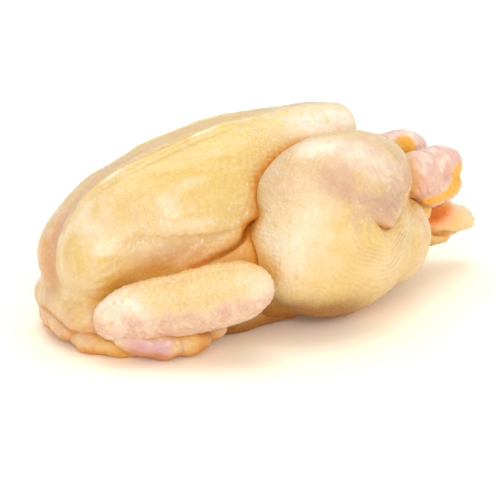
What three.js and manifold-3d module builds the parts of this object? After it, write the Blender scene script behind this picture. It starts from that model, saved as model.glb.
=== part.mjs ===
// A whole raw chicken, oven-ready and trussed, lying on its back with the breast up.
// It is one piece of meat, bone and skin, so it is one closed solid.
//
// Units are millimetres. +Z is up, -X is the neck end and +X the tail end, and the bird rests on z = 0.
// The origin is the middle of the base of the bird's box. The -Y side is the near one, +Y the far one.
//
// Each muscle, joint and fold of skin is a fleshy form: an oval section carried along a curve and
// rounded off at both ends. The forms are joined, the crease in the crook of each leg is cut in, and
// the back is cut flat where the bird's own weight presses it on the table.

import * as THREE from "three";
import { mergeVertices } from "three/addons/utils/BufferGeometryUtils.js";
import Module from "manifold-3d";

// ---------------------------------------------------------------- driving dimensions

const FAR_LEG_DROP = 8; // the far drumstick lies this much lower than the near one
const FAR_WING_TUCK = 2; // the far wing is folded this much closer to the body
const FAR_BREAST_TUCK = 4; // the far breast muscle bulges this much less
const FAR_BREAST_LEAN = 3.5; // and lies this much lower at the neck end, as much higher at the other
const FAR_HOCK_LIFT = 0.2; // the far hock is turned up by this share of its length
const TABLE = { length: 500, width: 400, depth: 60 }; // block that cuts the back flat
const SKIN_COLOUR = 0xf0d79c;

// Facets round a section and along a form, by how large the form is.
const LARGE = { around: 30, along: 19 };
const MIDDLING = { around: 18, along: 12 };
const SMALL = { around: 12, along: 10 };
const SMALLEST = { around: 10, along: 8 };

// Stations along each form, from one end to the other: the middle of the section (x, y, z), then
// its half width and its half height. Paired forms give the near one.

const RIBCAGE = [
  [-129, 0, 42, 28, 34],
  [-109, 0, 45, 38, 46],
  [-67, 0, 45, 46, 49],
  [-17, 0, 47, 52, 51],
  [28, 0, 43, 54, 48],
  [63, 0, 38, 50, 41],
  [91, 0, 36, 32, 26],
];
const BREAST = [
  [-149, -19, 40, 22, 28],
  [-135, -16, 44, 31, 37],
  [-112, -10, 50, 40, 47],
  [-85, -5, 56, 47, 51],
  [-57, -3, 61, 51, 54],
  [-25, -3, 65, 53, 56],
  [13, -3, 69, 47, 54],
  [45, -2, 76, 32, 45],
  [60, -2, 80, 22, 32],
];
const KEEL_TIP = [
  [-30, 0, 99, 24, 24],
  [0, 0, 101, 22, 22],
  [30, 0, 102, 18, 21],
  [56, 0, 103, 15, 19],
];
const NECK_SKIN = [
  [-108, 0, 18, 46, 18],
  [-134, 0, 20, 42, 17],
  [-157, 0, 24, 33, 15],
];
const BACK_SKIN = [
  [-86, -36, 14, 14, 14],
  [-58, -41, 13, 13, 13],
  [-30, -41, 12, 12, 12],
  [0, -40, 14, 13, 14],
];
const TAIL_BASE = [
  [75, 0, 34, 26, 20],
  [100, 0, 33, 23, 17],
  [124, 0, 31, 17, 13],
];
const TAIL_FLAP = [
  [100, -4, 38, 20, 11],
  [124, -4, 35, 20, 14],
  [145, -2, 30, 12, 9],
  [160, 0, 26, 4, 3],
];
const TAIL_LOBE = [
  [94, -6, 29, 17, 10],
  [116, -6, 28, 17, 10],
  [134, -4, 27, 9, 7],
];
const VENT_LIP = [
  [66, -14, 50, 20, 14],
  [90, -14, 49, 18, 12],
  [108, -10, 45, 16, 10],
];

const THIGH = [
  [74, -28, 38, 26, 28],
  [42, -43, 36, 30, 30],
  [6, -54, 39, 31, 35],
  [-24, -58, 54, 28, 33],
  [-46, -57, 68, 20, 25],
];
const DRUMSTICK = [
  [-43, -56, 77, 20, 25],
  [-15, -57, 84, 26, 31],
  [18, -51, 86, 27, 30],
  [46, -43, 81, 21, 26],
  [64, -35, 75, 15, 21],
  [80, -26, 72, 12, 16],
];
const LEG_SKIN = [
  [-47, -60, 58, 20, 33],
  [-16, -64, 58, 25, 42],
  [18, -58, 55, 27, 41],
  [46, -50, 47, 23, 32],
  [72, -42, 44, 16, 25],
];
const SKIN_POUCH = [
  [15, -56, 78, 18, 20],
  [40, -53, 70, 15, 22],
  [58, -46, 64, 10, 20],
  [68, -40, 66, 8, 14],
];
const RUMP_ROLL = [
  [44, -38, 24, 20, 19],
  [66, -38, 28, 17, 19],
  [79, -36, 38, 12, 17],
  [79, -34, 52, 10, 12],
  [70, -34, 61, 8, 8],
];
const KNEE_SKIN = [
  [50, -46, 63, 12, 12],
  [63, -44, 51, 14, 18],
  [62, -49, 36, 14, 15],
  [50, -50, 22, 14, 14],
];
const UNDER_LEG = [
  [-50, -43, 16, 9, 10],
  [-28, -50, 18, 11, 11],
  [2, -54, 19, 12, 11],
  [30, -50, 20, 11, 11],
];
const HOCK = [
  [64, -34, 75, 10, 11],
  [86, -28, 74, 14, 15],
  [107, -21, 72, 16, 17],
];
const HOCK_UPPER_KNOB = [
  [90, -25, 80, 10, 10],
  [111, -20, 77, 13, 11],
  [129, -17, 72, 10, 11],
];
const HOCK_LOWER_KNOB = [
  [84, -30, 64, 9, 9],
  [106, -24, 62, 13, 11],
  [128, -17, 63, 11, 10],
];
const LEG_CREASE = [
  [-5, -82, 91, 2, 4],
  [5, -83, 83, 3, 5],
  [15, -85, 73, 3, 6],
  [24, -84, 66, 3, 6],
  [32, -81, 62, 3, 6],
  [39, -75, 65, 3, 6],
  [48, -65, 70, 3, 5],
  [57, -59, 73, 2, 4],
];

const UPPER_WING = [
  [-117, -36, 29, 16, 16],
  [-89, -50, 31, 12, 14],
  [-57, -76, 39, 11, 12],
];
const FOREWING = [
  [-143, -44, 23, 8, 13],
  [-125, -52, 27, 11, 18],
  [-97, -67, 34, 12, 18],
  [-69, -81, 41, 12, 18],
  [-53, -89, 45, 9, 14],
];
const WING_TIP = [
  [-134, -50, 15, 7, 7],
  [-118, -55, 11, 10, 9],
  [-104, -60, 8, 11, 8],
  [-94, -61, 8, 9, 8],
];
const WING_END = [
  [-107, -58, 9, 8, 9],
  [-96, -62, 9, 10, 9],
  [-86, -63, 9, 8, 8],
  [-78, -63, 8, 4, 5],
];
const WING_FLAP = [
  [-92, -53, 14, 7, 9],
  [-78, -56, 13, 9, 10],
  [-67, -56, 16, 6, 8],
];
const WING_WEB = [
  [-90, -51, 43, 6, 8],
  [-68, -56, 48, 7, 11],
  [-46, -63, 53, 8, 14],
];

// ---------------------------------------------------------------- shapes

const wasm = await Module();
wasm.setup();

const UP = new THREE.Vector3(0, 0, 1);
const ACROSS = new THREE.Vector3(0, 1, 0);

// The same stations on the far side, dropped and tucked in by so much.
function onFarSide(stations, drop = 0, tuck = 0) {
  return stations.map(([x, y, z, w, h]) => [x, -y - tuck, z - drop, w, h]);
}

// The stations with their heights changed by so much at the first one, running evenly to the last.
function leaning(stations, first, last) {
  const steps = stations.length - 1;
  return stations.map(([x, y, z, w, h], i) => [x, y, z + first + ((last - first) * i) / steps, w, h]);
}

// The stations turned up from the one at the leg, by that share of the length past it.
function liftedPast(stations, share) {
  return stations.map(([x, y, z, w, h]) => [x, y, z + share * (x - HOCK[1][0] - 4), w, h]);
}

// A closed form: a ball whose vertices are moved onto oval sections along a smooth curve. Fullness 2
// tapers the ends as an egg does, and more keeps the form thick until close to its ends.
function fleshyForm(stations, fullness, { around, along }, up = UP) {
  const middle = new THREE.CatmullRomCurve3(
    stations.map(([x, y, z]) => new THREE.Vector3(x, y, z)),
    false,
    "catmullrom",
    0.5,
  );
  const halves = new THREE.CatmullRomCurve3(
    stations.map(([, , , w, h]) => new THREE.Vector3(w, h, 0)),
    false,
    "catmullrom",
    0.5,
  );
  const ball = new THREE.SphereGeometry(1, around, along);
  const place = ball.getAttribute("position");
  const v = new THREE.Vector3();
  const side = new THREE.Vector3();
  const lift = new THREE.Vector3();
  for (let i = 0; i < place.count; i++) {
    v.fromBufferAttribute(place, i);
    const s = THREE.MathUtils.clamp(-v.y, -1, 1);
    const t = (s + 1) / 2;
    const swell = (1 - Math.abs(s) ** fullness) ** (1 / fullness);
    const ring = Math.max(Math.hypot(v.x, v.z), 1e-9);
    const tangent = middle.getTangent(t);
    const half = halves.getPoint(t);
    side.crossVectors(up, tangent).normalize();
    lift.crossVectors(tangent, side);
    const p = middle
      .getPoint(t)
      .addScaledVector(side, (v.x / ring) * swell * half.x)
      .addScaledVector(lift, (v.z / ring) * swell * half.y);
    place.setXYZ(i, p.x, p.y, p.z);
  }
  return ball;
}

function solidOf(geometry) {
  const bare = geometry.clone();
  bare.deleteAttribute("normal");
  bare.deleteAttribute("uv");
  const merged = mergeVertices(bare, 1e-4);
  return new wasm.Manifold(
    new wasm.Mesh({
      numProp: 3,
      vertProperties: new Float32Array(merged.attributes.position.array),
      triVerts: new Uint32Array(merged.index.array),
    }),
  );
}

function joined(forms) {
  return forms.map(solidOf).reduce((all, one) => all.add(one));
}

function geometryOf(solid) {
  const mesh = solid.getMesh();
  const geometry = new THREE.BufferGeometry();
  geometry.setAttribute("position", new THREE.BufferAttribute(mesh.vertProperties, 3));
  geometry.setIndex(new THREE.BufferAttribute(mesh.triVerts, 1));
  geometry.computeVertexNormals();
  return geometry;
}

// ---------------------------------------------------------------- the bird

function torso() {
  return [
    fleshyForm(RIBCAGE, 2.6, LARGE),
    fleshyForm(BREAST, 2.8, LARGE),
    fleshyForm(
      leaning(onFarSide(BREAST, 0, FAR_BREAST_TUCK), -FAR_BREAST_LEAN, FAR_BREAST_LEAN),
      2.8,
      LARGE,
    ),
    fleshyForm(KEEL_TIP, 5.0, MIDDLING),
    fleshyForm(NECK_SKIN, 3.0, MIDDLING),
    fleshyForm(BACK_SKIN, 3.0, SMALL),
    fleshyForm(onFarSide(BACK_SKIN), 3.0, SMALL),
    fleshyForm(TAIL_BASE, 3.0, SMALL),
    fleshyForm(TAIL_FLAP, 3.0, SMALL),
    fleshyForm(TAIL_LOBE, 3.0, SMALL),
    fleshyForm(VENT_LIP, 3.0, SMALL),
  ];
}

function leg(placed, hockLift) {
  const muscles = joined([
    fleshyForm(placed(THIGH), 2.8, MIDDLING),
    fleshyForm(placed(DRUMSTICK, FAR_LEG_DROP), 2.8, MIDDLING),
    fleshyForm(placed(LEG_SKIN, FAR_LEG_DROP / 2), 2.6, MIDDLING),
    fleshyForm(placed(SKIN_POUCH, FAR_LEG_DROP), 2.4, SMALL),
    fleshyForm(placed(RUMP_ROLL), 2.6, SMALL, ACROSS),
    fleshyForm(placed(KNEE_SKIN), 2.6, SMALL, ACROSS),
    fleshyForm(placed(UNDER_LEG), 2.8, SMALL),
  ]);
  const crease = solidOf(fleshyForm(placed(LEG_CREASE, FAR_LEG_DROP / 2), 2.4, SMALL));
  const hock = joined([
    fleshyForm(liftedPast(placed(HOCK), hockLift), 3.4, SMALL),
    fleshyForm(liftedPast(placed(HOCK_UPPER_KNOB), hockLift), 3.0, SMALL),
    fleshyForm(liftedPast(placed(HOCK_LOWER_KNOB), hockLift), 3.0, SMALL),
  ]);
  return muscles.subtract(crease).add(hock);
}

function wing(placed) {
  return joined([
    fleshyForm(placed(UPPER_WING, 0, FAR_WING_TUCK), 3.0, SMALL),
    fleshyForm(placed(FOREWING, 0, FAR_WING_TUCK), 3.2, MIDDLING),
    fleshyForm(placed(WING_TIP, 0, FAR_WING_TUCK), 3.0, SMALLEST),
    fleshyForm(placed(WING_END, 0, FAR_WING_TUCK), 3.0, SMALLEST),
    fleshyForm(placed(WING_FLAP, 0, FAR_WING_TUCK), 3.0, SMALLEST),
    fleshyForm(placed(WING_WEB, 0, FAR_WING_TUCK), 3.0, SMALL),
  ]);
}

function onTheTable(solid) {
  const block = new THREE.BoxGeometry(TABLE.length, TABLE.width, TABLE.depth);
  block.translate(0, 0, -TABLE.depth / 2);
  return solid.subtract(solidOf(block));
}

const near = (stations) => stations;
const whole = [leg(near, 0), leg(onFarSide, FAR_HOCK_LIFT), wing(near), wing(onFarSide)].reduce(
  (all, limb) => all.add(limb),
  joined(torso()),
);

const chicken = new THREE.Mesh(
  geometryOf(onTheTable(whole)),
  new THREE.MeshStandardMaterial({ color: SKIN_COLOUR, roughness: 0.45, metalness: 0 }),
);
chicken.name = "chicken";

const bird = new THREE.Group();
bird.add(chicken);

export default bird;
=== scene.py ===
# A whole raw chicken, plucked, trussed and lying on its back with the breast up.
# Sizes are millimetres until a mesh is written, which is in metres. +Z is up, -X is the neck end,
# +X the tail end, -Y the near side and +Y the far side. The bird lies on z = 0.

import math

import bpy
import numpy as np
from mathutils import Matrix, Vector


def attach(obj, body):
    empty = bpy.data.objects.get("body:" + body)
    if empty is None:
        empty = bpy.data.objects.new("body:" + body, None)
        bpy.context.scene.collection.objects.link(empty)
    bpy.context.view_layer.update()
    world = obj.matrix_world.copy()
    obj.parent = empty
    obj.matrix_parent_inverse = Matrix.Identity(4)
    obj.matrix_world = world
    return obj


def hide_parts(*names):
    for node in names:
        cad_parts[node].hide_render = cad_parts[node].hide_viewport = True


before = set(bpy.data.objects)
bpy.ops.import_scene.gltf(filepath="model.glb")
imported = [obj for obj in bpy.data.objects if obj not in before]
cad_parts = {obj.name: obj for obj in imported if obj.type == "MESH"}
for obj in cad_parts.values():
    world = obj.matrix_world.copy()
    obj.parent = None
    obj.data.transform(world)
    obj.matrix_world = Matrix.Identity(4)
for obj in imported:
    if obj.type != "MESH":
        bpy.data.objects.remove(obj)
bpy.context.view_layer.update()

# ---------------------------------------------------------------------------- breast and back
# The trunk: ribs and back below, two breast muscles that meet along the keel above, and the loose
# skin of the neck at the front. One skin lies over all of it, thin, moist and pale yellow, with the
# pits and bumps that the feathers left and the creases where it doubles over.

MM = 0.001
UP = (0, 0, 1)

# The stations of each form, in order along it: x, y and z of its middle, half width, half height.
RIBCAGE = [
    (-129, 0, 42, 28, 34),
    (-109, 0, 45, 38, 46),
    (-67, 0, 45, 46, 49),
    (-17, 0, 47, 52, 51),
    (28, 0, 43, 54, 48),
    (63, 0, 38, 50, 41),
    (91, 0, 36, 32, 26),
]
BREAST = [
    (-149, -19, 40, 22, 28),
    (-135, -16, 44, 31, 37),
    (-112, -10, 50, 40, 47),
    (-85, -5, 56, 47, 51),
    (-57, -3, 61, 51, 54),
    (-25, -3, 65, 53, 56),
    (13, -3, 69, 47, 54),
    (45, -2, 76, 32, 45),
    (60, -2, 80, 22, 32),
]
KEEL_TIP = [
    (-30, 0, 99, 24, 24),
    (0, 0, 101, 22, 22),
    (30, 0, 102, 18, 21),
    (56, 0, 103, 15, 19),
]
NECK_SKIN = [
    (-108, 0, 18, 46, 18),
    (-134, 0, 20, 42, 17),
    (-153, 0, 25, 32, 15),
]
BACK_SKIN = [
    (-86, -36, 14, 14, 14),
    (-58, -41, 13, 13, 13),
    (-30, -41, 12, 12, 12),
    (0, -40, 14, 13, 14),
]
UPPER_WING = [
    (-117, -36, 29, 16, 16),
    (-89, -50, 31, 12, 14),
    (-57, -76, 39, 11, 12),
]
WING_WEB = [
    (-96, -50, 41, 8, 9),
    (-70, -54, 47, 10, 14),
    (-44, -57, 52, 12, 20),
]
FAR_WING_TUCK = 2  # the far wing is folded this much closer to the body
FAR_BREAST_TUCK = 4  # the far breast muscle bulges this much less
FAR_BREAST_LEAN = (-6.0, 3.0)  # and is raised by so much at its neck end and at its tail end


def on_side(side, stations, drop=0, tuck=0):
    """The stations as rows of numbers. On the far side they are mirrored over the middle plane, then
    lowered and tucked in by so much."""
    rows = np.array(stations, float)
    if side == "far":
        rows[:, 1] = -rows[:, 1] - tuck
        rows[:, 2] -= drop
    return rows


def flow(rows, t):
    """A smooth curve through the rows, read at t from 0 to 1: uniform Catmull-Rom, where each span
    is a cubic whose slope at a row is half the step between that row's two neighbours."""
    last = len(rows) - 1
    along = np.clip(t, 0, 1) * last
    i = np.minimum(along.astype(int), last - 1)
    w = (along - i)[:, None]
    rows = np.vstack([2 * rows[0] - rows[1], rows, 2 * rows[-1] - rows[-2]])
    a, b, c, d = rows[i], rows[i + 1], rows[i + 2], rows[i + 3]
    slope_b, slope_c = (c - a) / 2, (d - b) / 2
    square = (3 * (c - b) - 2 * slope_b - slope_c) * w**2
    return b + slope_b * w + square + (2 * (b - c) + slope_b + slope_c) * w**3


def sections(stations, fullness, steps, up=UP):
    """The oval sections of a fleshy form: its middles, the two unit directions across each section
    and the half sizes. With s from -1 to 1 along the form, the half sizes are the stations' own
    times (1 - |s|^fullness)^(1 / fullness), so the ends round off."""
    rows = np.array(stations, float)
    s = np.sin(np.linspace(-1, 1, steps) * np.pi / 2)
    t = (s + 1) / 2
    swell = np.clip(1 - np.abs(s) ** fullness, 0, None) ** (1 / fullness)
    middle = flow(rows[:, :3], t)
    ahead = flow(rows[:, :3], t + 0.001) - flow(rows[:, :3], t - 0.001)
    ahead /= np.linalg.norm(ahead, axis=1)[:, None]
    side = np.cross(up, ahead)
    side /= np.linalg.norm(side, axis=1)[:, None]
    lift = np.cross(ahead, side)
    return middle, side, lift, flow(rows[:, 3:5], t) * swell[:, None]


AROUND = 56  # points round each section of a form
STEPS = 49  # sections from end to end


def fleshy_form(stations, fullness, up=UP):
    """A closed form as (points, triangles): point (i, j) is middle i plus half width times cosine j
    along the side plus half height times sine j along the lift, with a pole at each end."""
    middle, side, lift, half = sections(stations, fullness, STEPS, up)
    turn = np.linspace(0, 2 * np.pi, AROUND, endpoint=False)
    sideways = half[1:-1, 0, None, None] * np.cos(turn)[None, :, None] * side[1:-1, None]
    upwards = half[1:-1, 1, None, None] * np.sin(turn)[None, :, None] * lift[1:-1, None]
    rings = middle[1:-1, None] + sideways + upwards
    points = np.vstack([middle[:1], rings.reshape(-1, 3), middle[-1:]])
    j = np.arange(AROUND)
    k = (j + 1) % AROUND
    start = 1 + np.arange(STEPS - 3)[:, None] * AROUND
    a, b, c, d = start + j, start + k, start + AROUND + k, start + AROUND + j
    walls = np.concatenate([np.stack([a, b, c], -1), np.stack([a, c, d], -1)]).reshape(-1, 3)
    last = len(points) - 1
    first_cap = np.stack([np.zeros(AROUND, int), 1 + k, 1 + j], 1)
    last_cap = np.stack([np.full(AROUND, last), last - AROUND + j, last - AROUND + k], 1)
    return points, np.concatenate([first_cap, walls, last_cap])


def put_through(mesh, kind, **settings):
    """The mesh as one modifier with these settings leaves it, as a new mesh of the same name."""
    holder = bpy.data.objects.new("holder", mesh)
    bpy.context.scene.collection.objects.link(holder)
    modifier = holder.modifiers.new(kind, kind)
    for setting, value in settings.items():
        setattr(modifier, setting, value)
    shaped = bpy.data.meshes.new_from_object(
        holder.evaluated_get(bpy.context.evaluated_depsgraph_get())
    )
    name = mesh.name
    bpy.data.objects.remove(holder)
    bpy.data.meshes.remove(mesh)
    shaped.name = name
    return shaped


def points_of(mesh):
    """The mesh's points in millimetres, as an array."""
    flat = np.empty(len(mesh.vertices) * 3, np.float32)
    mesh.vertices.foreach_get("co", flat)
    return flat.reshape(-1, 3).astype(float) / MM


def put_points(mesh, points):
    """Writes millimetre points into the mesh, none of them below the table."""
    points[:, 2] = np.maximum(points[:, 2], 0)
    mesh.vertices.foreach_set("co", (points * MM).astype(np.float32).ravel())
    mesh.update()


def evened(mesh, rounds):
    """Smooths a mesh: in each round a point moves half way to the mean of its neighbours."""
    edges = np.empty(len(mesh.edges) * 2, np.int32)
    mesh.edges.foreach_get("vertices", edges)
    a, b = edges.reshape(-1, 2).T
    points = points_of(mesh)
    count = np.bincount(np.concatenate([a, b]), minlength=len(points))[:, None]
    for _ in range(rounds):
        total = np.stack(
            [
                np.bincount(a, points[b, axis], len(points))
                + np.bincount(b, points[a, axis], len(points))
                for axis in range(3)
            ],
            1,
        )
        points += 0.5 * (total / count - points)
    put_points(mesh, points)


all_forms = []  # the forms of every skin, to tell later where flesh crowds it


def skin_over(name, forms, grain, rounds):
    """One skin over several forms: they are joined on a grid of cells of that grain, smoothed in
    that many rounds, and each face is then parted in four."""
    all_forms.extend(forms)
    parts, faces, count = [], [], 0
    for points, triangles in forms:
        parts.append(points)
        faces.append(triangles + count)
        count += len(points)
    points = np.concatenate(parts)
    points[:, 2] = np.maximum(points[:, 2], 0)
    mesh = bpy.data.meshes.new(name)
    mesh.from_pydata((points * MM).tolist(), [], np.concatenate(faces).tolist())
    mesh = put_through(mesh, "REMESH", mode="VOXEL", voxel_size=grain * MM)
    evened(mesh, rounds)
    return put_through(mesh, "SUBSURF", levels=1, render_levels=1)


def outward(mesh):
    """The mesh's unit normals at its points, as an array."""
    flat = np.empty(len(mesh.vertices) * 3, np.float32)
    mesh.vertex_normals.foreach_get("vector", flat)
    return flat.reshape(-1, 3).astype(float)


GRID_SHIFT = 31.7  # keeps the bird's middle plane off the corners of the cells


def chance(cells, seed):
    """A fixed number from 0 to 1 for each whole-number cell: the fraction of a large sine."""
    number = cells @ np.array([127.1, 311.7, 74.7]) + seed * 53.9
    return np.modf(np.abs(np.sin(number) * 43758.5453))[0]


def mottle(points, size, seed):
    """A smooth field from -1 to 1 with lumps of that size: each cell corner has a chance value, and
    they are blended by the easing 3f^2 - 2f^3 along each axis."""
    grid = points / size + GRID_SHIFT
    cell = np.floor(grid)
    f = grid - cell
    f = f * f * (3 - 2 * f)
    field = np.zeros(len(points))
    for corner in np.ndindex(2, 2, 2):
        corner = np.array(corner)
        weight = np.prod(np.where(corner, f, 1 - f), axis=1)
        field += weight * chance(cell + corner, seed)
    return field * 2 - 1


def pimples(points, spacing, seed):
    """A pebbled field from 0 to 1: one dome in each cell of a grid, pushed off its middle by chance,
    with the height 1 - d^2 / 0.45 at a distance of d cells from the nearest one's middle."""
    grid = points / spacing
    cell = np.floor(grid)
    nearest = np.full(len(points), 9.0)
    for step in np.ndindex(3, 3, 3):
        neighbour = cell + np.array(step) - 1
        offsets = [chance(neighbour, seed + 7 * axis) for axis in range(3)]
        centre = neighbour + 0.2 + 0.6 * np.stack(offsets, 1)
        nearest = np.minimum(nearest, ((grid - centre) ** 2).sum(1))
    return np.clip(1 - nearest / 0.45, 0, 1)


PATH_POINTS = 41  # a smooth path is measured along this many points


def along_path(points, path, reach=25):
    """For each point the distance to a smooth path, the side it lies on (1 above or ahead, -1 below,
    as seen from the near side) and how far along the path it is, from 0 to 1. Past the reach the
    distance is large."""
    path = flow(np.array(path, float), np.linspace(0, 1, PATH_POINTS))
    best = np.full(len(points), 1e3)
    side = np.ones(len(points))
    share = np.zeros(len(points))
    low, high = path.min(0) - reach, path.max(0) + reach
    close = np.nonzero(((points > low) & (points < high)).all(1))[0]
    points = points[close]
    for i, (a, b) in enumerate(zip(path[:-1], path[1:])):
        span = b - a
        t = np.clip((points - a) @ span / (span @ span), 0, 1)
        offset = points - (a + t[:, None] * span)
        distance = np.linalg.norm(offset, axis=1)
        nearer = distance < best[close]
        hit = close[nearer]
        best[hit] = distance[nearer]
        side[hit] = np.sign(offset[nearer] @ np.cross(span, (0, 1, 0)))
        share[hit] = (i + t[nearer]) / (len(path) - 1)
    return best, side, share


def rise(value, low, high):
    """Eases from 0 at low to 1 at high, as 3f^2 - 2f^3."""
    f = np.clip((value - low) / (high - low), 0, 1)
    return f * f * (3 - 2 * f)


def bell(distance, width):
    """1 at distance 0, falling off to nothing as exp(-(distance / width)^2)."""
    return np.exp(-((distance / width) ** 2))


def patch(points, middle, size):
    """A soft oval patch: 1 in its middle, falling off as a bell of that size along each axis."""
    return np.exp(-((((points - np.array(middle)) / np.array(size)) ** 2).sum(1)))


def waves(distance, apart):
    """Ridges at 1 and furrows at -1, that far apart: the sine of 2 pi times distance / apart."""
    return np.sin(distance * 2 * np.pi / apart)


def side_view(points):
    """The points as they lie seen from the side: all of them on the middle plane."""
    return np.array(points, float) * (1, 0, 1)


GAP_STEPS = 61  # sections that a gap is measured to


def gap_to(points, stations, fullness):
    """About how far each point lies outside a fleshy form, below 0 inside it: the distance to the
    nearest of the form's middles, less the oval section's reach in that direction."""
    middle, side, lift, half = sections(stations, fullness, GAP_STEPS)
    nearest = np.full(len(points), np.inf)
    gap = np.zeros(len(points))
    for i in range(len(middle)):
        offset = points - middle[i]
        away = np.linalg.norm(offset, axis=1)
        a, b = offset @ side[i], offset @ lift[i]
        width, height = half[i] + 0.01
        reach = np.hypot(a, b) / np.maximum(np.hypot(a / width, b / height), 1e-6)
        closer = away < nearest
        gap = np.where(closer, away - reach, gap)
        nearest = np.where(closer, away, nearest)
    return gap


pieces = []


def piece(mesh, material, **masks):
    """The finished piece: each mask, from 0 to 1 at every point or one number for all of them, is
    stored for the material to read; then it is smooth shaded, gets its material, and stands in place
    of the CAD bird."""
    for name, mask in masks.items():
        layer = mesh.attributes.new(name, "FLOAT", "POINT")
        layer.data.foreach_set("value", np.full(len(mesh.vertices), np.clip(mask, 0, 1), np.float32))
    mesh.shade_smooth()
    mesh.materials.clear()
    mesh.materials.append(material)
    thing = bpy.data.objects.new(mesh.name, mesh)
    bpy.context.scene.collection.objects.link(thing)
    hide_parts("chicken")
    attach(thing, "root")
    pieces.append(thing)


# Tints of the skin, in linear light.
CREAM = (0.67, 0.53, 0.29)
GOLD = (0.62, 0.43, 0.12)
# Painted shade, olive, on undersides and on low skin near the table.
OLIVE = (0.28, 0.13, 0.01)
YELLOW_FAT = (0.80, 0.58, 0.05)
FLESH = (0.61, 0.38, 0.28)
MAUVE = (0.50, 0.29, 0.19)
PEARL = (0.80, 0.71, 0.58)
# The skin's own orange, also laid on as painted shade in creases and where parts press together.
ORANGE = (0.56, 0.25, 0.04)
AMBER = (0.72, 0.35, 0.015)
# Painted shade, darkest, in narrow creases and along the table.
DEEP = (0.29, 0.11, 0.0)
# Painted shade: skin that flesh closes in over has its colour multiplied by this tint.
SHELTERED = (0.97, 0.70, 0.32)  # what is left of the light's colours deep between the flesh


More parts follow.
